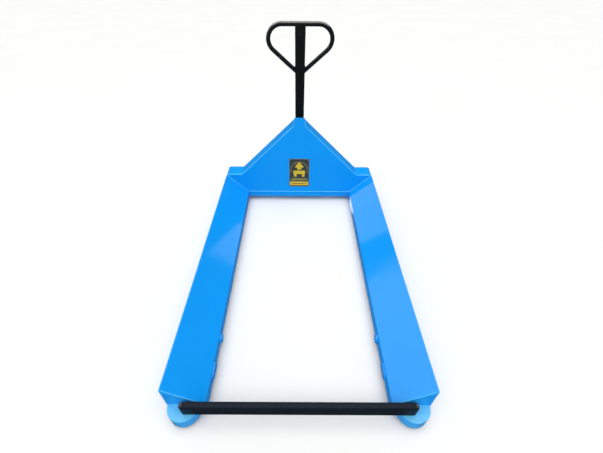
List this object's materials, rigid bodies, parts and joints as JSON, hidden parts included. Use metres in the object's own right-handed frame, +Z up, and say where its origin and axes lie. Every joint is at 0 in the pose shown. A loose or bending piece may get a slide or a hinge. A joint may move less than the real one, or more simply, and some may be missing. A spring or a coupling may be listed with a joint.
{
  "type": "reel pallet truck",
  "caption": "Hand pallet truck with parallel V-bed forks for reels and rolls, a crossbar over the fork noses, an upright A-frame and a steering hydraulic tiller unit.",
  "frame": {"origin": "On the floor, under the centre of the whole truck's box.", "axes": "+X is the right-hand fork seen from the fork tips, +Y runs from the tips to the tiller, +Z is up."},
  "size_m": [1.154, 2.064, 1.253],
  "materials": {
    "blue_paint": "semi-gloss sky-blue enamel on welded plate",
    "black_paint": "semi-gloss black powder coat",
    "rod_paint": "satin black paint, scuffed",
    "pump_casting": "dark grey cast iron, lightly oiled",
    "chrome_rod": "ground hard chrome",
    "plain_steel": "zinc-plated turned steel",
    "wheel_tread": "matt black cast tread, scuffed",
    "cap_plastic": "black moulded end cap",
    "badge_enamel": "dark printed plate with plain yellow bands"
  },
  "bodies": {
    "frame": {"fork_left": "blue_paint", "fork_right": "blue_paint", "fork_end_left": "blue_paint", "fork_end_right": "blue_paint", "nose_left": "blue_paint", "nose_right": "blue_paint", "wall_bosses_left": "blue_paint", "wall_bosses_right": "blue_paint", "flange_left": "blue_paint", "flange_right": "blue_paint", "heel_web_left": "blue_paint", "heel_web_right": "blue_paint", "roller_pivot_left": "plain_steel", "roller_pivot_right": "plain_steel", "front_plate": "blue_paint", "cross_member": "blue_paint", "head_bracket": "blue_paint", "lift_ram": "chrome_rod", "badge_plate": "badge_enamel", "badge_rivets": "plain_steel", "crossbar": "black_paint", "crossbar_caps": "cap_plastic", "crossbar_bolts": "plain_steel"},
    "lift_carriage": {"lift_yoke": "black_paint"},
    "steer_unit": {"pump_body": "pump_casting", "filler_plug": "plain_steel", "steer_axle": "plain_steel", "axle_caps": "plain_steel", "tiller_pivot_pins": "plain_steel"},
    "steer_wheel_left": {"steer_hub_left": "pump_casting", "steer_tyre_left": "wheel_tread"},
    "steer_wheel_right": {"steer_hub_right": "pump_casting", "steer_tyre_right": "wheel_tread"},
    "pump_plunger": {"plunger": "plain_steel", "plunger_spring": "plain_steel"},
    "lowering_valve": {"valve_lever": "plain_steel"},
    "tiller": {"tiller_yoke": "black_paint", "tiller_tube": "black_paint", "handle_loop": "black_paint", "lever_housing": "black_paint", "press_pin": "plain_steel"},
    "press_wheel": {"press_roller": "plain_steel"},
    "hand_lever": {"control_lever": "black_paint", "lever_pin": "plain_steel"},
    "lowering_rod": {"pull_rod": "plain_steel"},
    "rocker_shaft": {"rocker": "black_paint", "rocker_pins": "plain_steel"},
    "push_rod_left_body": {"push_rod_left": "rod_paint"},
    "roller_fork_left": {"roller_frame_left": "black_paint", "roller_pins_left": "plain_steel"},
    "load_roller_left": {"roller_core_left": "plain_steel", "roller_tread_left": "wheel_tread"},
    "push_rod_right_body": {"push_rod_right": "rod_paint"},
    "roller_fork_right": {"roller_frame_right": "black_paint", "roller_pins_right": "plain_steel"},
    "load_roller_right": {"roller_core_right": "plain_steel", "roller_tread_right": "wheel_tread"}
  },
  "joints": [
    {"name": "lift", "type": "slide", "parent": "frame", "child": "lift_carriage", "axis": [0, 0, -1], "range_m": [0, 0.115]},
    {"name": "steer", "type": "hinge", "parent": "lift_carriage", "child": "steer_unit", "pos_m": [0, 0.903, 0.205], "axis": [0, 0, 1], "range_deg": [-90, 90]},
    {"name": "steer_wheel_spin_left", "type": "hinge", "parent": "steer_unit", "child": "steer_wheel_left", "pos_m": [-0.06, 0.903, 0.09], "axis": [1, 0, 0], "continuous": true},
    {"name": "steer_wheel_spin_right", "type": "hinge", "parent": "steer_unit", "child": "steer_wheel_right", "pos_m": [0.06, 0.903, 0.09], "axis": [1, 0, 0], "continuous": true},
    {"name": "tiller_tilt", "type": "hinge", "parent": "steer_unit", "child": "tiller", "pos_m": [0, 1.001, 0.3], "axis": [-1, 0, 0], "range_deg": [0, 100]},
    {"name": "plunger_stroke", "type": "slide", "parent": "steer_unit", "child": "pump_plunger", "axis": [0, 0, -1], "range_m": [0, 0.0369], "deforming": ["plunger_spring"]},
    {"name": "press_wheel_spin", "type": "hinge", "parent": "tiller", "child": "press_wheel", "pos_m": [0, 1.01643, 0.31838], "axis": [1, 0, 0], "continuous": true},
    {"name": "hand_lever_swing", "type": "hinge", "parent": "tiller", "child": "hand_lever", "pos_m": [0, 0.81284, 1.18522], "axis": [1, 0, 0], "range_deg": [-10, 10]},
    {"name": "lowering_rod_slide", "type": "slide", "parent": "tiller", "child": "lowering_rod", "axis": [0, -0.2079, 0.9781], "range_m": [-0.0018, 0.0018]},
    {"name": "valve_swing", "type": "hinge", "parent": "steer_unit", "child": "lowering_valve", "pos_m": [0, 0.95, 0.15], "axis": [1, 0, 0], "range_deg": [-10.1, 10.1]},
    {"name": "rocker_turn", "type": "hinge", "parent": "frame", "child": "rocker_shaft", "pos_m": [0, 0.74, 0.058], "axis": [-1, 0, 0], "range_deg": [0, 63.01]},
    {"name": "push_rod_stroke_left", "type": "slide", "parent": "frame", "child": "push_rod_left_body", "axis": [0, -1, 0], "range_m": [0, 0.0259]},
    {"name": "roller_fork_swing_left", "type": "hinge", "parent": "frame", "child": "roller_fork_left", "pos_m": [-0.4935, -0.625, 0.052], "axis": [1, 0, 0], "range_deg": [0, 51.15]},
    {"name": "load_roller_spin_left", "type": "hinge", "parent": "roller_fork_left", "child": "load_roller_left", "pos_m": [-0.4935, -0.78, 0.037], "axis": [1, 0, 0], "continuous": true},
    {"name": "push_rod_stroke_right", "type": "slide", "parent": "frame", "child": "push_rod_right_body", "axis": [0, -1, 0], "range_m": [0, 0.0259]},
    {"name": "roller_fork_swing_right", "type": "hinge", "parent": "frame", "child": "roller_fork_right", "pos_m": [0.4935, -0.625, 0.052], "axis": [1, 0, 0], "range_deg": [0, 51.15]},
    {"name": "load_roller_spin_right", "type": "hinge", "parent": "roller_fork_right", "child": "load_roller_right", "pos_m": [0.4935, -0.78, 0.037], "axis": [1, 0, 0], "continuous": true}
  ],
  "couplings": [
    {"joint": "plunger_stroke", "follows": "tiller_tilt", "m_per_rad": 0.021085},
    {"joint": "lowering_rod_slide", "follows": "hand_lever_swing", "m_per_rad": -0.009},
    {"joint": "valve_swing", "follows": "hand_lever_swing", "ratio": 1},
    {"joint": "rocker_turn", "follows": "lift", "rad_per_m": 9.5614},
    {"joint": "push_rod_stroke_left", "follows": "lift", "ratio": 0.22478},
    {"joint": "roller_fork_swing_left", "follows": "lift", "rad_per_m": 7.7553},
    {"joint": "push_rod_stroke_right", "follows": "lift", "ratio": 0.22478},
    {"joint": "roller_fork_swing_right", "follows": "lift", "rad_per_m": 7.7553}
  ]
}
